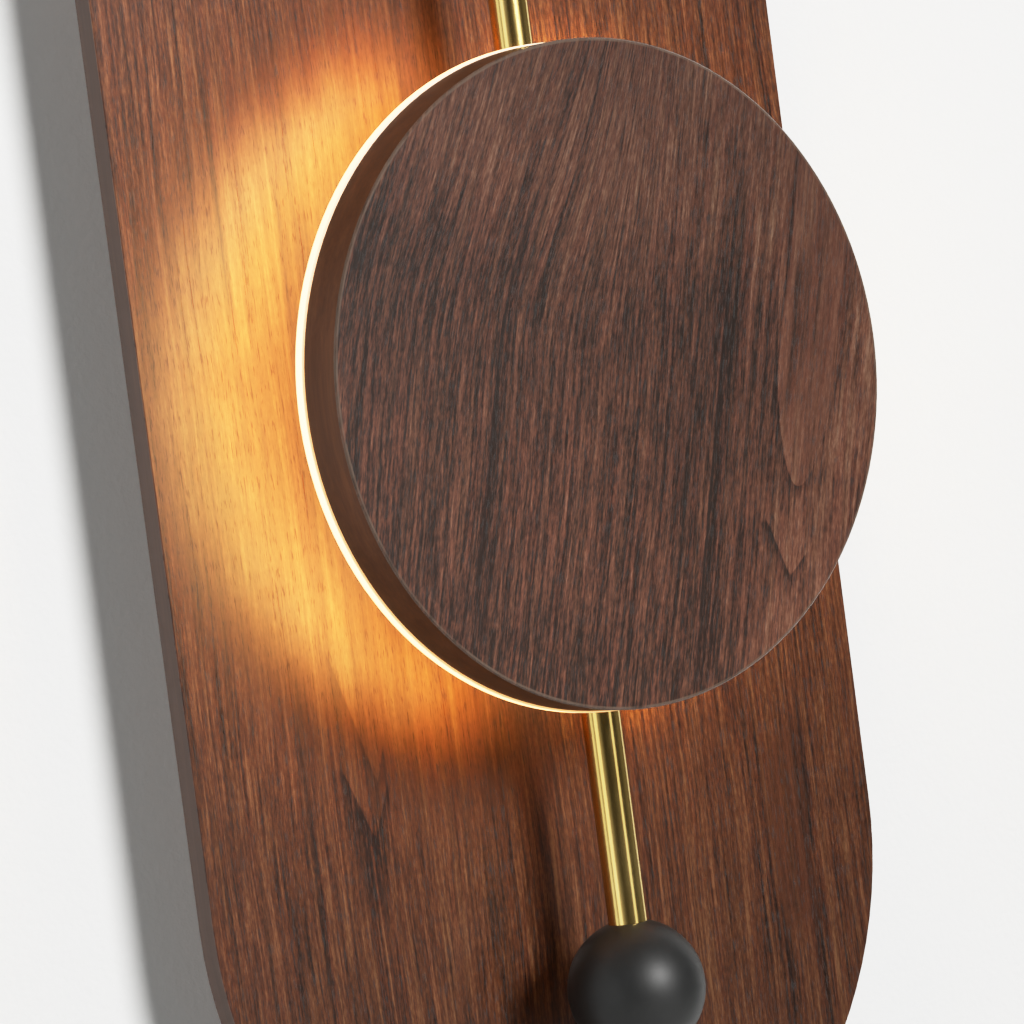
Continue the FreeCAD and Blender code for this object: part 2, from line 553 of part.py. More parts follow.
# long vents that let the plate spread its heat without bowing
for d in (0, 90, 180, 270):
    v = slot_x(0, 0, 16.0, 3.0, -95, -80)
    v.rotate(V(0, 0, 0), V(0, 1, 0), 90)
    v.translate(V(34.0, 0, 0))
    if d != 90:
        plate = plate.cut(turned(v, -d))
out("heat_plate", plate)
plate_screw = screw("pan", 2.5, 1.6, 1.4, 6.2, pitch=1.0)
out("plate_screws", *[aim(plate_screw, V(polar(PLATE_SCREW_R, d)[0], plate_back_y, polar(PLATE_SCREW_R, d)[1]),
                          V(0, 1, 0)) for d in PLATE_SCREW_DEG])
boss_screw = screw("flat", 2.8, 1.4, 1.45, 5.2, pitch=0.5, tip=0.4)
out("boss_screws", *[aim(boss_screw, V(polar(BOSS_SCREW_R, d)[0], LEDGE_Y, polar(BOSS_SCREW_R, d)[1]),
                         V(0, -1, 0)) for d in BOSS_SCREW_DEG])

# ------------------------------------------------------------ head: lighting
pcb_back_y = plate_back_y + LED_PCB_T
pcb = ring(LED_PCB_R, LED_PCB_BORE, plate_back_y, pcb_back_y)
for d in PCB_SCREW_DEG:
    pcb = pcb.cut(cy(1.6, -95, -80, *polar(PCB_SCREW_R, d)))
out("led_board", pcb)
chips = []
for side in (0, 180):
    for i in range(CHIPS_PER_SIDE):
        a = side - CHIP_SPREAD_DEG / 2 + CHIP_SPREAD_DEG * i / (CHIPS_PER_SIDE - 1)
        chip = block(CHIP_RING_R - 1.4, CHIP_RING_R + 1.4, pcb_back_y, pcb_back_y + 0.75, -1.75, 1.75)
        chips.append(turned(chip, -a))
out("led_chips", *chips)
pcb_screw = screw("pan", 2.6, 1.6, 1.2, 3.6, pitch=0.5, tip=0.3)
out("led_board_screws", *[aim(pcb_screw, V(polar(PCB_SCREW_R, d)[0], pcb_back_y, polar(PCB_SCREW_R, d)[1]),
                              V(0, 1, 0)) for d in PCB_SCREW_DEG])
CORE_Y = pcb_back_y + 1.3
conn = rrect(-4.5, 4.5, 46, 55, 0.6, pcb_back_y, pcb_back_y + 2.6)
for x in (-1.6, 1.6):
    conn = conn.cut(cz(0.8, 45, 52, x, CORE_Y))
    conn = conn.cut(block(x - 0.7, x + 0.7, pcb_back_y + 2.2, pcb_back_y + 4, 49, 53))
out("led_connector", conn)
out("led_cores",
    lead([(-1.0, NIPPLE_FRONT_Y, 0), (-1.0, -97.15, 0), (-1.6, -97.15, 30), (-1.6, CORE_Y, 30), (-1.6, CORE_Y, 51.5)],
         0.72, [1.2, 3.0, 2.6]),
    lead([(1.0, NIPPLE_FRONT_Y, 0), (1.0, -97.15, 0), (1.6, -97.15, 30), (1.6, CORE_Y, 30), (1.6, CORE_Y, 51.5)],
         0.72, [1.2, 3.0, 2.6]))

d_pts = [(15.4, DIFFUSER_BACK_Y), (DIFFUSER_R - 0.6, DIFFUSER_BACK_Y), (DIFFUSER_R, DIFFUSER_BACK_Y - 0.6),
         (DIFFUSER_R, HEAD_BACK_Y + 0.4), (DIFFUSER_R - 0.4, HEAD_BACK_Y), (15.4, HEAD_BACK_Y)]
diff = spin(d_pts)
for d in DIFFUSER_SCREW_DEG:
    x, z = polar(DIFFUSER_SCREW_R, d)
    diff = diff.cut(cy(1.6, -90, -75, x, z))
    diff = diff.cut(cy(3.25, DIFFUSER_BACK_Y - 0.45, -75, x, z))
    diff = diff.cut(Part.makeCone(1.6, 3.25, 1.5, V(x, DIFFUSER_BACK_Y - 1.95, z), V(0, 1, 0)))
out("diffuser", diff)
diff_screw = screw("flat", 3.1, 1.7, 1.4, 12.0, pitch=1.1)
out("diffuser_screws", *[aim(diff_screw, V(polar(DIFFUSER_SCREW_R, d)[0], DIFFUSER_BACK_Y - 0.1,
                                           polar(DIFFUSER_SCREW_R, d)[1]), V(0, 1, 0))
                         for d in DIFFUSER_SCREW_DEG])

# ---------------------------------------------------------------- head: wood
face_in_y = HEAD_FRONT_Y + VENEER_T
hc = spin([(0, face_in_y), (HEAD_R - RIM_BAND_T, face_in_y), (HEAD_R - RIM_BAND_T, HEAD_BACK_Y),
           (RECESS_R, HEAD_BACK_Y), (RECESS_R, LEDGE_Y), (LEDGE_R, LEDGE_Y), (LEDGE_R, FLOOR_Y + 1.2),
           (LEDGE_R - 1.2, FLOOR_Y), (0, FLOOR_Y)])
for d in PLATE_SCREW_DEG:
    hc = hc.cut(cy(1.45, -96.8, LEDGE_Y + 1, *polar(PLATE_SCREW_R, d)))
for d in DIFFUSER_SCREW_DEG:
    hc = hc.cut(cy(1.45, -93.4, HEAD_BACK_Y + 1, *polar(DIFFUSER_SCREW_R, d)))
out("head_core", hc)
out("head_rim_band", ring(HEAD_R, HEAD_R - RIM_BAND_T, face_in_y, HEAD_BACK_Y))
hf = cy(HEAD_R, HEAD_FRONT_Y, face_in_y)
hf = hf.makeChamfer(0.4, edge_at(hf, lambda e: on_y(e, HEAD_FRONT_Y)))
out("head_face_veneer", hf)
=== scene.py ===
import json
import math
import bpy
from mathutils import Matrix, Vector


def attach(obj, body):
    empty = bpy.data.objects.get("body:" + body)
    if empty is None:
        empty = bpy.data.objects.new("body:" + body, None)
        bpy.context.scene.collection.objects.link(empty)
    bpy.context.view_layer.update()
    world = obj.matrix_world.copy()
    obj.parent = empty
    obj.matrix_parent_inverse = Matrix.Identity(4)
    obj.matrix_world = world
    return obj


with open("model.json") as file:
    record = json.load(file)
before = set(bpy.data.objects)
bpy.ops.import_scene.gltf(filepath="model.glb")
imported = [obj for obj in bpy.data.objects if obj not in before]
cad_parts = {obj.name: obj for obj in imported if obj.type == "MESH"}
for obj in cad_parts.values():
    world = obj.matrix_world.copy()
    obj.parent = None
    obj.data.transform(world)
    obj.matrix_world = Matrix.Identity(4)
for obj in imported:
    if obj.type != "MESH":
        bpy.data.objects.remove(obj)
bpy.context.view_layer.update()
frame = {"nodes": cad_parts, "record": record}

SC = bpy.context.scene
NODES = frame["nodes"]


# =============================================================== node helper
class Tree:
    """Short names for building a shader tree. A value is a number, a tuple or an output socket."""

    def __init__(self, material):
        self.m = material
        material.use_nodes = True
        self.t = material.node_tree
        self.t.nodes.clear()
        self.out = self.t.nodes.new("ShaderNodeOutputMaterial")
        self._xyz = None

    def new(self, kind, **props):
        n = self.t.nodes.new(kind)
        for k, v in props.items():
            setattr(n, k, v)
        return n

    def put(self, socket, value):
        if isinstance(value, bpy.types.NodeSocket):
            self.t.links.new(value, socket)
        elif value is not None:
            socket.default_value = value
        return socket

    def math(self, op, a, b=None, c=None, clamp=False):
        n = self.new("ShaderNodeMath", operation=op, use_clamp=clamp)
        self.put(n.inputs[0], a)
        self.put(n.inputs[1], b)
        self.put(n.inputs[2], c)
        return n.outputs[0]

    def add(self, a, b): return self.math("ADD", a, b)
    def sub(self, a, b): return self.math("SUBTRACT", a, b)
    def mul(self, a, b, clamp=False): return self.math("MULTIPLY", a, b, clamp=clamp)
    def div(self, a, b): return self.math("DIVIDE", a, b)
    def mad(self, a, b, c): return self.math("MULTIPLY_ADD", a, b, c)
    def lo(self, a, b): return self.math("MINIMUM", a, b)
    def hi(self, a, b): return self.math("MAXIMUM", a, b)

    def total(self, *terms):
        s = terms[0]
        for x in terms[1:]:
            s = self.add(s, x)
        return s

    def step(self, x, a, b, y0=0.0, y1=1.0):
        """Smooth step of x from y0 at a to y1 at b. b may lie below a."""
        if b < a:
            a, b, y0, y1 = b, a, y1, y0
        n = self.new("ShaderNodeMapRange", interpolation_type="SMOOTHSTEP")
        for i, v in enumerate((x, a, b, y0, y1)):
            self.put(n.inputs[i], v)
        return n.outputs[0]

    def lin(self, x, a, b, y0=0.0, y1=1.0):
        n = self.new("ShaderNodeMapRange", clamp=True)
        for i, v in enumerate((x, a, b, y0, y1)):
            self.put(n.inputs[i], v)
        return n.outputs[0]

    def bell(self, x, centre, left, right=None):
        """exp(-d^2), with its own width on each side of the centre."""
        right = left if right is None else right
        d = self.sub(x, centre)
        a = self.div(self.lo(d, 0.0), left)
        b = self.div(self.hi(d, 0.0), right)
        s = self.mad(a, a, self.mul(b, b))
        return self.math("EXPONENT", self.mul(s, -1.0))

    def window(self, x, a, b, soft_a, soft_b):
        """1 between a and b, fading over soft_a below a and soft_b above b."""
        return self.mul(self.step(x, a - soft_a, a), self.step(x, b, b + soft_b, 1.0, 0.0))

    def obj(self):
        """The object's own coordinates, in millimetres."""
        if self._xyz is None:
            co = self.new("ShaderNodeTexCoord").outputs["Object"]
            self._mm = self.vec("SCALE", co, scale=1000.0)
            s = self.new("ShaderNodeSeparateXYZ")
            self.put(s.inputs[0], self._mm)
            self._xyz = tuple(s.outputs)
        return self._xyz

    def mm(self):
        self.obj()
        return self._mm

    def vec(self, op, a, b=None, scale=None):
        n = self.new("ShaderNodeVectorMath", operation=op)
        self.put(n.inputs[0], a)
        if b is not None:
            self.put(n.inputs[1], b)
        if scale is not None:
            self.put(n.inputs["Scale"], scale)
        return n.outputs["Value"] if op in ("DOT_PRODUCT", "LENGTH", "DISTANCE") else n.outputs[0]

    def xyz(self, x, y, z=0.0):
        n = self.new("ShaderNodeCombineXYZ")
        for i, v in enumerate((x, y, z)):
            self.put(n.inputs[i], v)
        return n.outputs[0]

    def noise(self, vector, scale=1.0, detail=2.0, rough=0.5, dim="3D", dist=0.0, lac=2.0):
        n = self.new("ShaderNodeTexNoise", noise_dimensions=dim)
        self.put(n.inputs["Vector"], vector)
        for k, v in (("Scale", scale), ("Detail", detail), ("Roughness", rough), ("Distortion", dist), ("Lacunarity", lac)):
            self.put(n.inputs[k], v)
        return n.outputs[0]

    def voronoi(self, vector, scale=1.0, feature="F1", dim="3D", rand=1.0):
        n = self.new("ShaderNodeTexVoronoi", voronoi_dimensions=dim, feature=feature)
        self.put(n.inputs["Vector"], vector)
        self.put(n.inputs["Scale"], scale)
        self.put(n.inputs["Randomness"], rand)
        return n.outputs[0]

    def ramp(self, fac, stops, mode="LINEAR"):
        n = self.new("ShaderNodeValToRGB")
        r = n.color_ramp
        r.interpolation = mode
        while len(r.elements) < len(stops):
            r.elements.new(0.5)
        for e, (p, c) in zip(r.elements, sorted(stops)):
            e.position = p
            e.color = (*c, 1.0) if len(c) == 3 else c
        self.put(n.inputs[0], fac)
        return n.outputs[0]

    def mix(self, fac, a, b, blend="MIX"):
        n = self.new("ShaderNodeMix", data_type="RGBA", blend_type=blend)
        n.clamp_factor = True
        self.put(n.inputs[0], fac)
        for s, v in ((n.inputs[6], a), (n.inputs[7], b)):
            self.put(s, (*v, 1.0) if isinstance(v, tuple) and len(v) == 3 else v)
        return n.outputs[2]

    def bump(self, height, distance, strength=1.0, normal=None):
        n = self.new("ShaderNodeBump")
        self.put(n.inputs["Strength"], strength)
        self.put(n.inputs["Distance"], distance)
        self.put(n.inputs["Height"], height)
        if normal is not None:
            self.put(n.inputs["Normal"], normal)
        return n.outputs[0]

    def principled(self, color, rough, normal=None, **sockets):
        b = self.new("ShaderNodeBsdfPrincipled")
        self.put(b.inputs["Base Color"], (*color, 1.0) if isinstance(color, tuple) and len(color) == 3 else color)
        self.put(b.inputs["Roughness"], rough)
        if normal is not None:
            self.put(b.inputs["Normal"], normal)
        for k, v in sockets.items():
            self.put(b.inputs[k.replace("_", " ")], v)
        self.t.links.new(b.outputs[0], self.out.inputs["Surface"])
        return b


def tree(name):
    return Tree(bpy.data.materials.new(name))


# ===================================================================== wood
def wood(name, lean, sway, features, stops, k, length=85.0, seed=0.0, rough=0.5, spec=0.35,
         hue=0.5, pore=0.75, calm=None, painted_light_falloff=(0.0, 0.0), painted_chamfer_highlight=None):
    """Walnut veneer on a face in the XZ plane. lean turns the grain, sway bends it, features adds placed figure; each of
    the last two gets the tree and the coordinates across (u) and along (v) the grain, in mm. k holds the strengths of
    the long streaks, of the middling and the short ones, and of the two broad bands."""
    t = tree(name)
    c, s = math.cos(lean), math.sin(lean)
    p = t.mm()
    u0 = t.vec("DOT_PRODUCT", p, (c, 0.0, -s))
    v = t.vec("DOT_PRODUCT", p, (s, 0.0, c))
    w1 = t.noise(t.xyz(t.div(u0, 70.0), t.div(v, 170.0), seed), detail=1.0)
    w2 = t.noise(t.xyz(t.div(u0, 14.0), t.div(v, 60.0), seed + 3.1), detail=1.0)
    fine_warp = t.mad(w2, 1.8, -0.9)
    uf = t.add(u0, t.mul(fine_warp, 0.35))
    u = t.total(u0, t.mad(w1, 8.0, -4.0), fine_warp)
    if sway:
        bend = sway(t, u0, v)
        u = t.add(u, bend)
        uf = t.add(uf, bend)

    def layer(width, run, z, detail=2.0, r=0.6):
        n = t.noise(t.xyz(t.div(u, width), t.div(v, run), seed + z), detail=detail, rough=r)
        return t.sub(n, 0.5)

    n1 = layer(1.6, length, 0.0, 3.0, 0.72)
    n2 = layer(0.95, length * 0.14, 11.3, 1.0, 0.6)
    n3 = layer(0.62, 3.0, 21.9, 2.0, 0.7)
    n4 = layer(4.6, length * 1.2, 31.2, 1.0)
    n5 = layer(14.0, 160.0, 37.7, 1.0)
    fine = t.total(t.mul(n1, k[0]), t.mul(n2, k[1]), t.mul(n3, k[2]))
    if calm:
        fine = t.mul(fine, calm(t, uf, v))
    tone = t.total(fine, t.mul(n4, k[3]), t.mul(n5, k[4]), 0.5)
    if features:
        tone = t.add(tone, features(t, uf, u0, v))
    base = t.ramp(tone, stops)
    # the random shift between greenish and reddish brown
    h = t.noise(t.xyz(t.div(u, 2.6), t.div(v, 70.0), seed + 41.0), detail=1.0)
    warm = t.ramp(t.mad(t.sub(h, 0.5), 2.2, 0.5), [(0.15, (0.93, 1.03, 0.97)), (0.5, (1.0, 1.0, 1.0)), (0.85, (1.07, 0.94, 0.93))])
    base = t.mix(hue, base, t.mix(1.0, base, warm, "MULTIPLY"))
    # open pores: dark dashes along the grain, strung along the darker streaks
    pn = t.noise(t.xyz(t.div(u, 0.46), t.div(v, 5.5), seed + 51.0), detail=2.0, rough=0.6)
    dens = t.mad(n1, 0.42, 0.575)
    pm = t.math("MULTIPLY", t.sub(pn, dens), 12.0, clamp=True)
    base = t.mix(t.mul(pm, pore), base, t.mix(1.0, base, (0.30, 0.26, 0.26), "MULTIPLY"))
    # painted light fall-off: the colour is scaled by a smooth exponential gradient across the face, standing in for
    # the uneven light on it, so the board comes out darker to its lower right and the head to its upper right
    d = t.math("EXPONENT", t.vec("DOT_PRODUCT", p, (painted_light_falloff[0], 0.0, painted_light_falloff[1])))
    base = t.mix(1.0, base, t.xyz(d, d, d), "MULTIPLY")
    # painted highlight: where given, the chamfer round the face is painted paler, standing in for the light it catches
    if painted_chamfer_highlight:
        base = painted_chamfer_highlight(t, base)
    height = t.total(t.mul(n1, 0.35), t.mul(n3, 0.3), t.mul(pm, -0.3))
    rg = t.math("MULTIPLY_ADD", n1, 0.16, t.mad(pm, 0.35, rough))
    t.principled(base, rg, t.bump(height, 0.00006, 0.5), Specular_IOR_Level=spec)
    return t.m


# ------------------------------------------------------------- the head's face
def head_sway(t, u0, v):
    ramp_up = t.math("SMOOTH_MAX", t.sub(v, 14.0), 0.0, 24.0)
    return t.mul(t.mul(ramp_up, -0.23), t.step(u0, 20.0, -24.0))


def head_painted_chamfer_highlight(t, base):
    """The small chamfer round the face, painted a little paler in an uneven band: a painted highlight standing in for
    the light the chamfer catches.
    """
    x, y, z = t.obj()
    r = t.math("SQRT", t.mad(x, x, t.mul(z, z)))
    n = t.noise(t.xyz(t.div(x, 9.0), t.div(y, 0.5), t.div(z, 9.0)), detail=2.0)
    k = t.mul(t.step(r, 98.85, 99.15), t.step(n, 0.30, 0.60, 0.25, 0.75))
    return t.mix(k, base, (0.105, 0.070, 0.050))


def teardrop(t, u, v):
    """Signed distance in mm from the outline of the long rounded figure, positive inside."""
    q = t.sub(u, 71.5)
    q2 = t.mul(q, q)
    far = t.math("POWER", t.div(q2, 132.0), 4.0)
    f = t.sub(t.sub(t.add(v, 23.5), t.div(q2, 4.4)), t.mul(far, 4.8))
    slope = t.add(t.div(t.math("ABSOLUTE", q), 2.2), t.mul(far, 3.3))
    g = t.math("SQRT", t.mad(slope, slope, 1.0))
    return t.div(f, g)


def chevron(t, u, v, uc, vc, slope, blunt):
    """Signed distance from a V that opens upwards, positive inside."""
    q = t.div(t.sub(u, uc), slope)
    f = t.sub(t.add(t.sub(v, vc), blunt), t.math("SQRT", t.mad(q, q, blunt * blunt)))
    return t.mul(f, 1.0 / math.sqrt(1.0 + 1.0 / slope ** 2))


def rim_line(t, d, depth, fade, lift=0.0, lift_fade=6.0, sharp=0.30):
    """Dark outside a figure's outline, sharp on the line and fading outwards, and a little lighter inside."""
    outside = t.math("EXPONENT", t.div(t.lo(d, 0.0), fade))
    on = t.step(d, sharp, -sharp)
    dark = t.mul(t.mul(outside, on), -depth)
    if lift:
        inside = t.mul(t.step(d, 0.0, 1.2), t.math("EXPONENT", t.div(t.mul(t.hi(d, 0.0), -1.0), lift_fade)))
        dark = t.add(dark, t.mul(inside, lift))
    return dark


def streak(t, u, v, uc, wl, wr, va, vb, soft_a, soft_b, k):
    return t.mul(t.mul(t.bell(u, uc, wl, wr), t.window(v, va, vb, soft_a, soft_b)), k)


def head_features(t, u, u0, v):
    terms = []
    for uc, wl, wr, va, vb, sa, sb, k in (
            # the bending dark band, left of the middle
            (-41.5, 1.8, 2.4, -95.0, 90.0, 20.0, 20.0, -0.12), (-42.5, 0.5, 0.6, -60.0, 40.0, 12.0, 22.0, -0.20),
            (-39.0, 0.5, 0.6, -20.0, 85.0, 12.0, 12.0, -0.15), (-31.0, 2.0, 2.6, 20.0, 95.0, 30.0, 20.0, -0.10),
            # the straight ring line, right of the middle: sharp on its left, fading to its right
            (38.6, 0.35, 3.0, -80.0, 60.0, 25.0, 30.0, -0.15), (38.7, 0.30, 0.50, -62.0, 26.0, 10.0, 16.0, -0.26),
            (41.8, 0.4, 0.6, -20.0, 60.0, 12.0, 16.0, -0.16),
            # light streaks beside it
            (48.4, 0.9, 1.1, -70.0, 44.0, 20.0, 30.0, 0.20), (50.6, 0.4, 0.5, -70.0, 44.0, 20.0, 20.0, -0.12),
            (52.9, 0.8, 1.0, -34.0, 50.0, 15.0, 20.0, 0.13), (12.0, 1.2, 1.4, -20.0, 70.0, 25.0, 20.0, 0.09),
            (-4.0, 0.7, 0.9, -60.0, 30.0, 15.0, 20.0, 0.08), (24.0, 0.8, 1.0, -75.0, 20.0, 15.0, 20.0, 0.08),
            (29.0, 0.5, 0.7, -60.0, 60.0, 15.0, 20.0, -0.10),
            # a thin dark line at the upper right with a calm light patch beyond it
            (60.6, 0.5, 0.8, 34.0, 76.0, 12.0, 10.0, -0.24), (66.5, 3.0, 3.4, 48.0, 68.0, 12.0, 12.0, 0.08),
            # streaks inside the teardrop
            (64.6, 0.7, 1.6, 6.0, 40.0, 10.0, 16.0, -0.20), (68.6, 0.6, 0.9, 16.0, 46.0, 8.0, 12.0, -0.15),
            (73.2, 0.6, 0.9, 24.0, 52.0, 8.0, 12.0, -0.13)):
        terms.append(streak(t, u, v, uc, wl, wr, va, vb, sa, sb, k))
    # the teardrop, its paler right arm, and the V below it
    d = teardrop(t, u, v)
    left = t.step(u, 74.0, 70.0)
    terms.append(t.mul(rim_line(t, d, 0.36, 3.4, 0.05, 9.0), t.mul(left, t.step(v, 62.0, 20.0))))
    terms.append(t.mul(rim_line(t, d, 0.20, 1.3), t.mul(t.step(u, 70.0, 74.0), t.step(v, 40.0, 14.0))))
    arm = t.mul(t.bell(d, -1.6, 1.3, 1.1), t.mul(t.step(u, 72.0, 76.0), t.window(v, -12.0, 34.0, 10.0, 12.0)))
    terms.append(t.mul(arm, 0.12))
    e = chevron(t, u, v, 71.6, -50.5, 0.68, 1.0)
    reach = t.hi(t.step(u, 71.5, 69.5), t.mul(t.step(u, 78.0, 76.0), t.step(v, -36.0, -40.0)))
    terms.append(t.mul(t.mul(rim_line(t, e, 0.36, 2.4, 0.04, 5.0), t.window(v, -62.0, -37.5, 8.0, 3.0)), reach))
    # the sheet is a little paler in its middle
    terms.append(streak(t, u, v, -22.0, 42.0, 46.0, -45.0, 25.0, 40.0, 40.0, 0.07))
    return t.mul(t.total(*terms), 1.3)


def head_calm(t, u, v):
    d = teardrop(t, u, v)
    return t.mul(t.step(d, -0.5, 2.5, 1.0, 0.62), t.step(u, 10.0, 46.0, 1.0, 0.92))


HEAD_STOPS = [(0.0, (0.0123, 0.0057, 0.0036)), (0.22, (0.0370, 0.0148, 0.0090)), (0.42, (0.0727, 0.0271, 0.0158)),
              (0.56, (0.0974, 0.0369, 0.0213)), (0.74, (0.1379, 0.0617, 0.0365)), (1.0, (0.2021, 0.1046, 0.0659))]


# ------------------------------------------------------------ the board's face
def board_features(t, u, u0, v):
    terms = []
    a = chevron(t, u, v, -63.6, -129.5, 0.40, 1.2)
    terms.append(t.mul(t.mul(rim_line(t, a, 0.40, 3.6, 0.05, 5.0), t.window(v, -150.0, -111.0, 10.0, 6.0)), t.window(u, -74.0, -58.0, 5.0, 2.0)))
    terms.append(t.mul(t.mul(t.bell(u, -68.5, 4.6, 4.2), t.window(v, -143.0, -124.0, 14.0, 8.0)), -0.22))
    b = chevron(t, u, v, -60.5, -113.0, 0.30, 1.2)
    terms.append(t.mul(t.mul(rim_line(t, b, 0.26, 2.6, 0.05, 8.0), t.window(v, -120.0, -76.0, 6.0, 10.0)), t.window(u, -72.0, -57.5, 4.0, 2.0)))
    for uc, wl, wr, va, vb, k in (
            (-87.0, 0.7, 1.4, -172.0, -100.0, -0.24), (-84.6, 0.4, 0.5, -160.0, -90.0, -0.16), (-78.0, 0.9, 1.2, -160.0, -92.0, 0.12),
            (-98.0, 2.2, 2.6, -190.0, -120.0, -0.07),
            (-91.5, 0.8, 1.2, 40.0, 112.0, -0.20), (-70.6, 0.6, 1.0, 34.0, 62.0, -0.18), (-107.0, 1.2, 1.1, 20.0, 150.0, 0.10),
            (-82.0, 1.2, 2.0, 96.0, 170.0, -0.12), (-55.0, 1.0, 2.2, 100.0, 170.0, -0.13), (-20.0, 1.2, 2.6, 92.0, 150.0, -0.12),
            (-34.0, 1.2, 1.8, -200.0, -120.0, -0.10), (-16.0, 0.7, 1.0, -190.0, -120.0, -0.12),
            (61.6, 0.8, 1.1, -160.0, -118.0, -0.18), (83.4, 0.5, 0.7, -182.0, -112.0, -0.32), (93.0, 6.0, 6.5, -175.0, -128.0, -0.10),
            (102.0, 1.6, 0.6, -150.0, -112.0, -0.26), (105.0, 0.8, 1.1, -200.0, -138.0, 0.15), (112.0, 1.0, 1.2, -170.0, -120.0, 0.08),
            (86.0, 2.0, 1.2, -205.0, -180.0, -0.18), (46.0, 1.4, 2.0, -220.0, -110.0, -0.09), (72.0, 1.0, 1.4, -180.0, -110.0, 0.07)):
        terms.append(streak(t, u, v, uc, wl, wr, va, vb, 14.0, 14.0, k))
    return t.total(*terms)


def board_calm_and_painted_glow_haze(t, u, v):
    a = t.mul(t.window(u, 84.5, 100.0, 1.0, 1.0), t.window(v, -178.0, -126.0, 12.0, 10.0))
    # painted haze: inside the pool of LED glow left of the head, within 116 to 150 mm of its axis, the fine grain is
    # cut to 40 per cent, flattening it towards its middle tone in place of the veil of light the glow lays over the
    # wood
    r = t.math("SQRT", t.mad(u, u, t.mul(v, v)))
    b = t.mul(t.step(r, 150.0, 116.0), t.step(u, 30.0, -30.0))
    return t.mul(t.mad(a, -0.50, 1.0), t.mad(b, -0.60, 1.0))


BOARD_STOPS = [(0.0, (0.0104, 0.0039, 0.0020)), (0.22, (0.0314, 0.0105, 0.0049)), (0.42, (0.0579, 0.0177, 0.0070)),
               (0.56, (0.0770, 0.0240, 0.0094)), (0.74, (0.1102, 0.0395, 0.0162)), (1.0, (0.1662, 0.0696, 0.0306))]


# -------------------------------------------------------- edge bands and rims
def edge_wood(name, base, spread, rough, spec, size, back=None):
    """A smooth, lacquered edge, with faint streaks. size is the streaks' size along x, y and z, in mm."""
    t = tree(name)
    x, y, z = t.obj()
    w = t.noise(t.mm(), 0.03, 1.0)
    wx = t.add(x, t.mul(w, min(size[0], 4.0)))

    def layer(f, g, k, detail):
        return t.noise(t.xyz(t.add(t.div(wx, size[0] * f), k), t.div(y, size[1] * f), t.div(z, size[2] * g)), detail=detail)

    st = layer(1.0, 1.0, 0.0, 2.0)
    br = layer(4.5, 1.8, 4.0, 1.0)
    fi = layer(0.4, 0.2, 9.0, 1.0)
    tone = t.total(t.mul(t.sub(st, 0.5), spread), t.mul(t.sub(br, 0.5), spread * 1.1), t.mul(t.sub(fi, 0.5), spread * 0.4), 0.5)
    if back is not None:                                # the plain balancing veneer behind y = back, its grain upright
        g1 = t.noise(t.xyz(t.div(x, 1.6), 0.0, t.div(z, 95.0)), detail=3.0, rough=0.7)
        g2 = t.noise(t.xyz(t.div(x, 11.0), 3.0, t.div(z, 130.0)), detail=1.0)
        g3 = t.noise(t.xyz(t.div(x, 0.6), 7.0, t.div(z, 5.0)), detail=1.0)
        flat = t.total(t.mul(t.sub(g1, 0.5), 1.3), t.mul(t.sub(g2, 0.5), 0.7), t.mul(t.sub(g3, 0.5), 0.6), 0.5)
        k = t.step(y, back - 0.15, back)
        tone = t.add(t.mul(tone, t.sub(1.0, k)), t.mul(flat, k))
    col = t.ramp(tone, [(0.0, tuple(c * 0.45 for c in base)), (0.5, base), (1.0, tuple(min(1.0, c * 1.7) for c in base))])
    h = t.add(t.mul(st, 0.5), t.mul(fi, 0.5))
    t.principled(col, t.mad(st, 0.16, rough - 0.08), t.bump(h, 0.00006, 0.35), Specular_IOR_Level=spec)
    return t.m


def plywood():
    t = tree("birch_plywood")
    x, y, z = t.obj()
    n = t.noise(t.xyz(t.div(x, 60.0), t.div(y, 4.0), t.div(z, 60.0)), detail=2.0)
    ply = t.math("FLOORED_MODULO", t.add(t.div(t.add(y, 30.6), 1.36), t.mul(n, 0.12)), 2.0)
    cross = t.step(ply, 0.96, 1.04)
    g1 = t.noise(t.xyz(t.div(x, 1.1), t.div(y, 0.5), t.div(z, 14.0)), detail=3.0)
    g2 = t.noise(t.xyz(t.div(x, 14.0), t.div(y, 0.5), t.div(z, 1.1)), detail=3.0)
    g = t.add(t.mul(g1, t.sub(1.0, cross)), t.mul(g2, cross))
    col = t.ramp(t.add(g, t.mul(cross, -0.10)), [(0.2, (0.26, 0.155, 0.085)), (0.5, (0.52, 0.37, 0.22)), (0.8, (0.70, 0.55, 0.36))])
    glue = t.bell(ply, 1.0, 0.05)
    col = t.mix(t.mul(glue, 0.7), col, (0.12, 0.06, 0.03))
    t.principled(col, t.mad(g, 0.2, 0.6), t.bump(g, 0.0001, 0.5), Specular_IOR_Level=0.25)
    return t.m


def fibreboard():
    t = tree("fibreboard")
    p = t.mm()
    a = t.noise(p, 1.6, 5.0, 0.65)
    b = t.voronoi(p, 2.6)
    tone = t.add(t.mul(a, 0.8), t.mul(b, 0.25))
    col = t.ramp(tone, [(0.25, (0.25, 0.15, 0.085)), (0.52, (0.40, 0.27, 0.165)), (0.8, (0.56, 0.41, 0.27))])
    t.principled(col, t.mad(a, 0.2, 0.72), t.bump(tone, 0.00015, 0.6), Specular_IOR_Level=0.2)
    return t.m


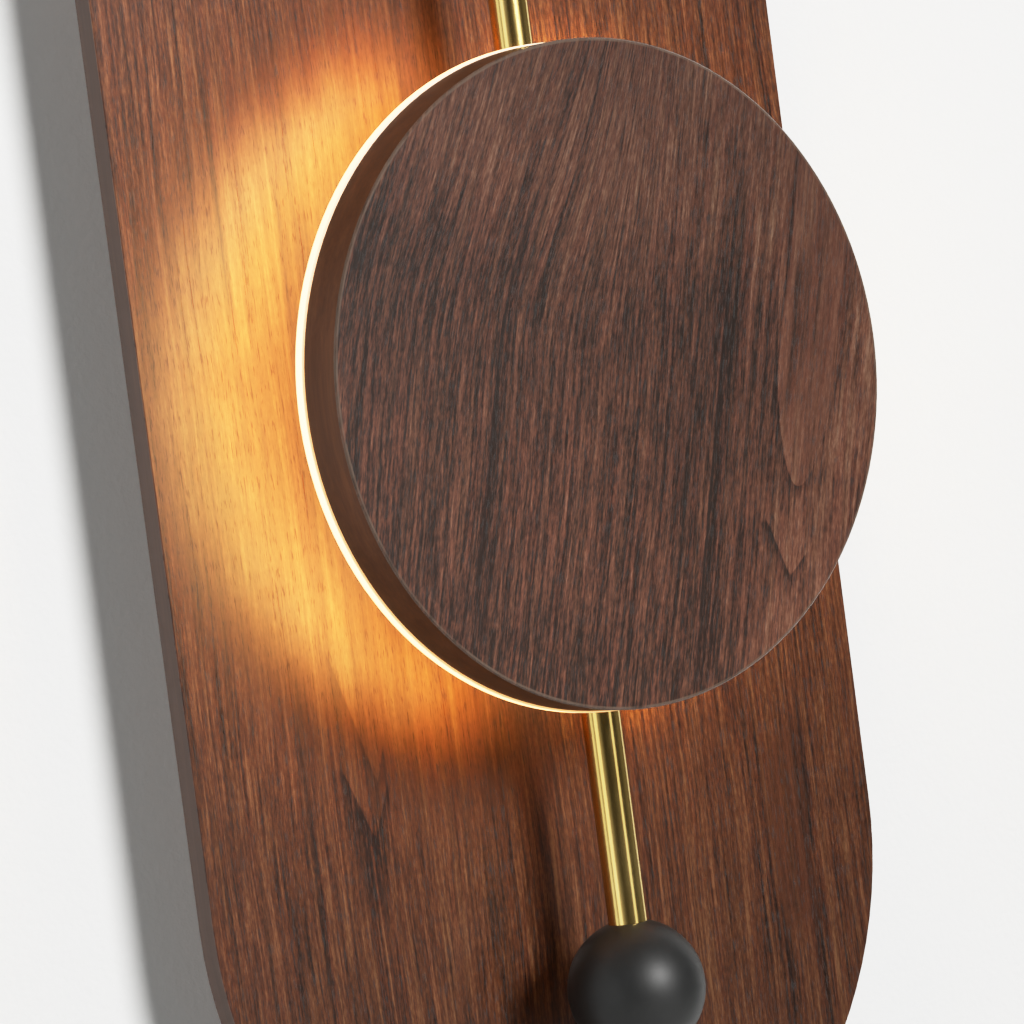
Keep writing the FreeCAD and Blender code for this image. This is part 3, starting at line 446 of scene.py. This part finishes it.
# ==================================================================== metals
def satin_brass():
    t = tree("satin_brass")
    x, y, z = t.obj()
    # lengthwise satin finish: very fine lines along the rod, a soft cloud of handling marks over them
    line = t.noise(t.xyz(t.div(x, 0.16), t.div(y, 0.16), t.div(z, 30.0)), detail=2.0)
    cloud = t.noise(t.xyz(t.div(x, 9.0), t.div(y, 9.0), t.div(z, 26.0)), detail=3.0)
    spot = t.noise(t.mm(), 0.9, 3.0, 0.6)
    col = t.ramp(t.add(t.mul(cloud, 0.7), t.mul(line, 0.3)),
                 [(0.25, (0.76, 0.49, 0.135)), (0.5, (0.83, 0.55, 0.165)), (0.75, (0.88, 0.62, 0.215))])
    col = t.mix(t.mul(t.step(spot, 0.60, 0.75), 0.25), col, (0.55, 0.34, 0.12))
    rg = t.total(t.mul(cloud, 0.07), t.mul(line, 0.05), 0.10)
    t.principled(col, rg, t.bump(line, 0.000012, 0.35), Metallic=1.0)
    return t.m


def zinc():
    t = tree("zinc_plate")
    p = t.mm()
    a = t.noise(p, 0.22, 4.0, 0.6)
    v = t.voronoi(p, 0.9)
    s = t.noise(t.vec("MULTIPLY", p, (3.0, 3.0, 0.4)), 1.0, 3.0, 0.6)
    tone = t.total(t.mul(a, 0.6), t.mul(v, 0.2), t.mul(s, 0.2))
    col = t.ramp(tone, [(0.3, (0.36, 0.37, 0.38)), (0.5, (0.52, 0.53, 0.54)), (0.75, (0.66, 0.66, 0.66))])
    t.principled(col, t.mad(tone, 0.35, 0.18), t.bump(t.add(s, v), 0.00002, 0.3), Metallic=1.0)
    return t.m


def aluminium():
    t = tree("mill_aluminium")
    p = t.mm()
    roll = t.noise(t.vec("MULTIPLY", p, (0.05, 2.5, 4.0)), 1.0, 3.0, 0.6)
    blot = t.noise(p, 0.08, 3.0, 0.55)
    tone = t.add(t.mul(roll, 0.6), t.mul(blot, 0.4))
    col = t.ramp(tone, [(0.3, (0.52, 0.53, 0.54)), (0.5, (0.66, 0.67, 0.68)), (0.72, (0.78, 0.79, 0.80))])
    t.principled(col, t.mad(tone, 0.3, 0.22), t.bump(roll, 0.00002, 0.3), Metallic=1.0)
    return t.m


# ============================================================ paint, plastics
def black_paint():
    t = tree("satin_black_powder")
    p = t.mm()
    fine = t.noise(p, 2.6, 3.0, 0.6)
    peel = t.noise(p, 0.55, 2.0, 0.5)
    fleck = t.voronoi(p, 1.25)
    spec = t.step(fleck, 0.16, 0.05)
    col = t.ramp(t.add(t.mul(fine, 0.6), t.mul(peel, 0.4)), [(0.3, (0.0045, 0.0048, 0.0047)), (0.6, (0.0068, 0.0070, 0.0069)), (0.85, (0.012, 0.0122, 0.0120))])
    col = t.mix(t.mul(spec, 0.4), col, (0.030, 0.031, 0.030))
    rg = t.total(t.mul(fine, 0.10), t.mul(spec, 0.12), 0.42)
    t.principled(col, rg, t.bump(t.total(t.mul(fine, 0.5), t.mul(peel, 0.9), t.mul(spec, 0.4)), 0.00005, 0.35), Specular_IOR_Level=0.36)
    return t.m


def box_paint():
    t = tree("matt_black_powder")
    p = t.mm()
    fine = t.noise(p, 3.4, 4.0, 0.65)
    orange = t.voronoi(p, 1.6)
    dust = t.noise(p, 0.03, 3.0, 0.6)
    col = t.ramp(t.add(t.mul(fine, 0.5), t.mul(dust, 0.5)), [(0.3, (0.030, 0.029, 0.028)), (0.55, (0.048, 0.046, 0.044)), (0.8, (0.072, 0.069, 0.066))])
    t.principled(col, t.mad(fine, 0.2, 0.45), t.bump(t.add(t.mul(fine, 0.6), t.mul(orange, 0.5)), 0.00010, 0.5), Specular_IOR_Level=0.45)
    return t.m


def plastic(name, low, mid, high, rough, grain=2.2, bump=0.00005, spec=0.45, **more):
    t = tree(name)
    p = t.mm()
    a = t.noise(p, grain, 4.0, 0.6)
    b = t.noise(p, 0.07, 3.0, 0.55)
    col = t.ramp(t.add(t.mul(a, 0.35), t.mul(b, 0.65)), [(0.3, low), (0.5, mid), (0.72, high)])
    t.principled(col, t.mad(a, 0.16, rough - 0.08), t.bump(a, bump, 0.5), Specular_IOR_Level=spec, **more)
    return t.m


def mains_leads():
    t = tree("lead_blue_brown")
    x, y, z = t.obj()
    outer = t.math("GREATER_THAN", z, 56.0)
    outer = t.hi(outer, t.math("LESS_THAN", x, -44.2))
    outer = t.hi(outer, t.mul(t.math("LESS_THAN", z, -38.75), t.math("LESS_THAN", x, -5.0)))
    a = t.noise(t.mm(), 1.4, 3.0, 0.6)
    brown = t.ramp(a, [(0.3, (0.085, 0.034, 0.016)), (0.7, (0.125, 0.052, 0.024))])
    blue = t.ramp(a, [(0.3, (0.018, 0.070, 0.230)), (0.7, (0.030, 0.105, 0.320))])
    t.principled(t.mix(outer, blue, brown), t.mad(a, 0.15, 0.34), t.bump(a, 0.00004, 0.4), Specular_IOR_Level=0.5)
    return t.m


def earth_lead():
    t = tree("lead_green_yellow")
    x, y, z = t.obj()
    a = t.noise(t.mm(), 1.4, 3.0, 0.6)
    # one yellow stripe along the green insulation, on the side that faces the wall and the room
    k = t.add(t.add(y, t.mul(x, 0.35)), t.mul(z, 0.35))
    stripe = t.step(t.math("SINE", t.mul(k, 0.55)), -0.05, 0.05)
    green = t.ramp(a, [(0.3, (0.020, 0.150, 0.030)), (0.7, (0.035, 0.210, 0.045))])
    yellow = t.ramp(a, [(0.3, (0.62, 0.47, 0.030)), (0.7, (0.74, 0.58, 0.050))])
    t.principled(t.mix(stripe, green, yellow), t.mad(a, 0.15, 0.34), t.bump(a, 0.00004, 0.4), Specular_IOR_Level=0.5)
    return t.m


LED = (1.0, 0.70, 0.27)


def opal():
    """The opal disc: milky acrylic, lit from behind by two fans of chips, its sawn edge glowing evenly."""
    t = tree("opal_acrylic")
    x, y, z = t.obj()
    r = t.math("SQRT", t.mad(x, x, t.mul(z, z)))
    a = t.noise(t.mm(), 0.35, 3.0, 0.5)
    # the two fans, turned a little with the head
    ca, sa = math.cos(math.radians(-8.5)), math.sin(math.radians(-8.5))
    fx = t.math("ABSOLUTE", t.add(t.mul(x, ca), t.mul(z, sa)))
    fan = t.step(t.div(fx, t.hi(r, 1.0)), 0.02, 0.60)
    near = t.bell(r, 78.0, 30.0, 24.0)
    edge = t.step(r, 99.3, 100.1)
    glow = t.mad(t.mul(fan, near), 0.97, 0.03)
    glow = t.mul(glow, t.mad(a, 0.10, 0.95))
    core = t.window(y, -84.3, -82.1, 0.7, 0.9)         # the sawn edge is brightest along its middle
    em = t.mix(edge, t.mix(glow, (0.0, 0.0, 0.0), LED), t.mix(core, (0.110, 0.046, 0.009), (0.36, 0.170, 0.060)))
    t.principled((0.86, 0.83, 0.76), t.mad(a, 0.1, 0.30), t.bump(a, 0.00003, 0.3), Specular_IOR_Level=0.5,
                 Emission_Color=em, Emission_Strength=13.0)
    return t.m


def phosphor():
    t = tree("led_phosphor")
    x, y, z = t.obj()
    a = t.noise(t.mm(), 2.0, 3.0, 0.6)
    col = t.ramp(a, [(0.3, (0.80, 0.55, 0.10)), (0.7, (0.95, 0.74, 0.22))])
    t.principled(col, t.mad(a, 0.1, 0.40), t.bump(a, 0.00004, 0.4), Specular_IOR_Level=0.5,
                 Emission_Color=t.mix(a, (1.0, 0.52, 0.16), (1.0, 0.62, 0.24)), Emission_Strength=6.0)
    return t.m


def solder_mask():
    t = tree("white_solder_mask")
    x, y, z = t.obj()
    a = t.noise(t.mm(), 1.2, 3.0, 0.6)
    r = t.math("SQRT", t.mad(x, x, t.mul(z, z)))
    track = t.hi(t.bell(r, 68.0, 0.8), t.bell(r, 77.2, 0.5))
    col = t.ramp(a, [(0.3, (0.76, 0.77, 0.75)), (0.7, (0.84, 0.85, 0.83))])
    col = t.mix(t.mul(track, 0.30), col, (0.62, 0.60, 0.52))
    t.principled(col, t.mad(a, 0.12, 0.36), t.bump(t.add(t.mul(a, 0.3), track), 0.00005, 0.5), Specular_IOR_Level=0.5)
    return t.m


MATERIALS = {
    "walnut_board": wood("walnut_board", math.radians(0.4), None, board_features, BOARD_STOPS, (1.60, 0.95, 1.05, 0.36, 0.24), length=120.0,
                         seed=2.0, rough=0.30, spec=0.32, hue=0.5, calm=board_calm_and_painted_glow_haze, painted_light_falloff=(-0.0013, 0.0012)),
    "walnut_head": wood("walnut_head", math.radians(15.5), head_sway, head_features, HEAD_STOPS, (1.30, 0.92, 1.08, 0.14, 0.08), length=85.0,
                        seed=7.0, rough=0.33, spec=0.31, hue=0.5, calm=head_calm, painted_light_falloff=(-0.0021, -0.0035), painted_chamfer_highlight=head_painted_chamfer_highlight),
    "walnut_edge": edge_wood("walnut_edge", (0.083, 0.049, 0.037), 0.35, 0.50, 0.16, (40.0, 0.9, 40.0), back=-30.2),
    "walnut_rim": edge_wood("walnut_rim", (0.098, 0.037, 0.0155), 0.60, 0.50, 0.11, (1.6, 1.6, 42.0)),
    "plywood": plywood(),
    "fibreboard": fibreboard(),
    "satin_brass": satin_brass(),
    "zinc": zinc(),
    "aluminium": aluminium(),
    "black_paint": black_paint(),
    "box_paint": box_paint(),
    "opal": opal(),
    "phosphor": phosphor(),
    "solder_mask": solder_mask(),
    "white_plastic": plastic("white_moulded", (0.70, 0.70, 0.67), (0.76, 0.76, 0.73), (0.82, 0.82, 0.79), 0.42),
    "nylon": plastic("natural_nylon", (0.60, 0.57, 0.48), (0.68, 0.65, 0.56), (0.75, 0.72, 0.64), 0.46,
                     Subsurface_Weight=0.08, Subsurface_Scale=0.002),
    "black_plastic": plastic("black_moulded", (0.012, 0.012, 0.012), (0.020, 0.020, 0.020), (0.032, 0.032, 0.032), 0.44),
    "lead_blue_brown": mains_leads(),
    "lead_green": earth_lead(),
    "lead_white": plastic("white_lead", (0.62, 0.62, 0.60), (0.70, 0.70, 0.68), (0.78, 0.78, 0.76), 0.36, grain=1.4),
}

for sub in frame["record"]["subparts"]:
    o = NODES[sub["node"]]
    slot = sub["material_slot"]
    if len(o.material_slots) == 0:
        o.data.materials.append(MATERIALS[slot])
    for i in range(len(o.material_slots)):
        o.material_slots[i].material = MATERIALS[slot]

# ===================================================================== stage
def one_sided(name, surface):
    """A stage surface that is there only for rays from its front, and never throws a shadow."""
    t = tree(name)
    shader = surface(t)
    back = t.new("ShaderNodeNewGeometry").outputs["Backfacing"]
    shadow = t.new("ShaderNodeLightPath").outputs["Is Shadow Ray"]
    clear = t.new("ShaderNodeBsdfTransparent")
    m = t.new("ShaderNodeMixShader")
    t.put(m.inputs[0], t.hi(back, shadow))
    t.t.links.new(shader, m.inputs[1])
    t.t.links.new(clear.outputs[0], m.inputs[2])
    t.t.links.new(m.outputs[0], t.out.inputs["Surface"])
    return t.m


def plaster(t):
    p = t.mm()
    a = t.noise(p, 0.42, 3.0, 0.55)
    b = t.noise(p, 0.12, 2.0, 0.5)
    c = t.noise(p, 0.006, 2.0, 0.5)
    col = t.ramp(t.add(t.mul(c, 0.6), t.mul(b, 0.4)), [(0.3, (0.868, 0.872, 0.872)), (0.7, (0.892, 0.892, 0.888))])
    s = t.new("ShaderNodeBsdfDiffuse")
    t.put(s.inputs["Color"], col)
    t.put(s.inputs["Normal"], t.bump(t.add(a, t.mul(b, 0.8)), 0.0006, 0.55))
    e = t.new("ShaderNodeEmission")                   # the room's fill on the wall
    t.put(e.inputs["Color"], (0.93, 1.0, 0.985, 1.0))
    t.put(e.inputs["Strength"], 0.095)
    add = t.new("ShaderNodeAddShader")
    t.t.links.new(s.outputs[0], add.inputs[0])
    t.t.links.new(e.outputs[0], add.inputs[1])
    return add.outputs[0]


def floor_paint(t):
    p = t.mm()
    a = t.noise(p, 0.02, 4.0, 0.6)
    col = t.ramp(a, [(0.3, (0.66, 0.66, 0.65)), (0.7, (0.72, 0.72, 0.71))])
    s = t.new("ShaderNodeBsdfDiffuse")
    t.put(s.inputs["Color"], col)
    t.put(s.inputs["Normal"], t.bump(a, 0.001, 0.3))
    return s.outputs[0]


def sheet(name, corners, material):
    me = bpy.data.meshes.new(name)
    me.from_pydata([Vector(c) for c in corners], [], [tuple(range(len(corners)))])
    me.update()
    o = bpy.data.objects.new(name, me)
    SC.collection.objects.link(o)
    me.materials.append(material)
    return o


FLOOR_Z = -1.2
wall = sheet("wall", [(-4.0, 0.0004, FLOOR_Z), (4.0, 0.0004, FLOOR_Z), (4.0, 0.0004, 3.2), (-4.0, 0.0004, 3.2)], one_sided("plaster", plaster))
floor = sheet("floor", [(-4.0, -5.0, FLOOR_Z), (4.0, -5.0, FLOOR_Z), (4.0, 0.0004, FLOOR_Z), (-4.0, 0.0004, FLOOR_Z)], one_sided("floor_paint", floor_paint))

floor.visible_diffuse = False


# ==================================================================== lights
def area(name, place, aim, power, size, size_y=None, color=(1.0, 1.0, 1.0), spread=None, sheen_only=False):
    d = bpy.data.lights.new(name, "AREA")
    d.energy = power
    d.color = color
    d.shape = "RECTANGLE" if size_y else "DISK"
    d.size = size
    if size_y:
        d.size_y = size_y
    if spread is not None:
        d.spread = spread
    o = bpy.data.objects.new(name, d)
    SC.collection.objects.link(o)
    o.location = place
    o.rotation_euler = (Vector(aim) - Vector(place)).to_track_quat("-Z", "Y").to_euler()
    o.visible_camera = False
    if sheen_only:
        o.visible_diffuse = False
    return o


key_dir = Vector((0.128, -0.938, 0.293)).normalized()
area("key", key_dir * 3.2, (0, 0, 0), 160.0, 1.00, color=(1.0, 0.99, 0.975))
area("left_panel", Vector((-0.945, -0.320, -0.055)).normalized() * 2.2, (0, -0.03, -0.05), 5.6, 0.72, 1.8, sheen_only=True)
area("tall_strip", Vector((0.300, -0.945, -0.110)).normalized() * 3.0, (0, -0.06, -0.10), 7.0, 0.62, 2.2, sheen_only=True)
area("back_soft", (0.4, 2.6, 0.9), (0, 0, 0), 60.0, 1.8, 1.8)

# the light-emitting diodes' two fans, thrown back on the board past the head's edge
for side in (0, 1):
    for i in range(11):
        a = math.radians(179.0 + 180.0 * side - 70.0 + 140.0 * i / 10.0)
        d = bpy.data.lights.new("led_%d_%d" % (side, i), "SPOT")
        d.energy = 1.04
        d.color = (1.0, 0.575, 0.145)
        d.shadow_soft_size = 0.008
        d.spot_size = math.radians(88.0)
        d.spot_blend = 1.0
        o = bpy.data.objects.new(d.name, d)
        SC.collection.objects.link(o)
        o.location = (0.0930 * math.cos(a), -0.0800, 0.0930 * math.sin(a))
        o.rotation_euler = Vector((0, 1, 0)).to_track_quat("-Z", "Y").to_euler()
        o.visible_camera = False
        o.visible_glossy = False
        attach(o, "head")

# ===================================================================== world
w = bpy.data.worlds.new("room")
SC.world = w
w.use_nodes = True
wt = w.node_tree
wt.nodes.clear()


class WorldTree(Tree):
    def __init__(self, world):
        self.m = world
        self.t = world.node_tree
        self.out = self.t.nodes.new("ShaderNodeOutputWorld")
        self._xyz = None


t = WorldTree(w)
g = t.new("ShaderNodeTexCoord").outputs["Generated"]
sx = t.new("ShaderNodeSeparateXYZ")
t.put(sx.inputs[0], g)
dx, dy, dz = sx.outputs
front = t.step(dy, 0.02, -0.02)                       # nothing comes through the wall
left = t.step(dx, -0.60, -0.97)
right = t.step(dx, 0.60, 0.97)
lift = t.step(dz, 0.25, 0.90)
low = t.step(dz, -0.20, -0.70)
level = t.total(0.030, t.mul(left, 0.46), t.mul(right, 0.14), t.mul(lift, 0.32), t.mul(low, 0.10))
level = t.mul(level, front)
cam = t.new("ShaderNodeLightPath").outputs["Is Camera Ray"]
bg1 = t.new("ShaderNodeBackground")
t.put(bg1.inputs["Color"], (0.98, 1.0, 0.985, 1.0))
t.put(bg1.inputs["Strength"], level)
bg2 = t.new("ShaderNodeBackground")
t.put(bg2.inputs["Color"], (0.86, 0.865, 0.87, 1.0))
t.put(bg2.inputs["Strength"], 0.95)
mx = t.new("ShaderNodeMixShader")
t.put(mx.inputs[0], cam)
t.t.links.new(bg1.outputs[0], mx.inputs[1])
t.t.links.new(bg2.outputs[0], mx.inputs[2])
t.t.links.new(mx.outputs[0], t.out.inputs["Surface"])

# ==================================================================== camera
cd = bpy.data.cameras.new("camera")
cam_o = bpy.data.objects.new("camera", cd)
SC.collection.objects.link(cam_o)
right = Vector((0.80565, -0.57797, -0.12994)).normalized()
back = Vector((-0.57842, -0.81485, 0.03814)).normalized()
up = back.cross(right).normalized()
right = up.cross(back).normalized()
cam_o.matrix_world = Matrix((
    (right.x, up.x, back.x, -0.95595),
    (right.y, up.y, back.y, -1.38571),
    (right.z, up.z, back.z, 0.02422),
    (0, 0, 0, 1)))
cd.lens = 189.63
cd.sensor_fit = "HORIZONTAL"
cd.sensor_width = 36.0
cd.clip_start = 0.01
cd.clip_end = 50.0
cd.dof.use_dof = False
SC.camera = cam_o

# ================================================================ tone curve
vs = SC.view_settings
SC.display_settings.display_device = "sRGB"
vs.view_transform = "Standard"
vs.look = "None"
vs.exposure = 0.0
vs.gamma = 1.0
vs.use_curve_mapping = True
cm = vs.curve_mapping
cm.black_level = (0.0, 0.0, 0.0)
cm.white_level = (4.0, 4.0, 4.0)
cm.extend = "HORIZONTAL"
curve = cm.curves[3]


def shoulder(x):
    return x if x <= 0.35 else 1.0 - 0.65 * math.exp(-(x - 0.35) / 0.65)


xs = [0.0, 0.12, 0.24, 0.34, 0.42, 0.52, 0.64, 0.78, 0.95, 1.15, 1.4, 1.75, 2.2, 2.8, 3.4, 4.0]
while len(curve.points) > 2:
    curve.points.remove(curve.points[1])
curve.points[0].location = (0.0, 0.0)
curve.points[1].location = (1.0, shoulder(4.0))
for x in xs[1:-1]:
    curve.points.new(x / 4.0, shoulder(x))
for pt in curve.points:
    pt.handle_type = "AUTO_CLAMPED"
cm.update()
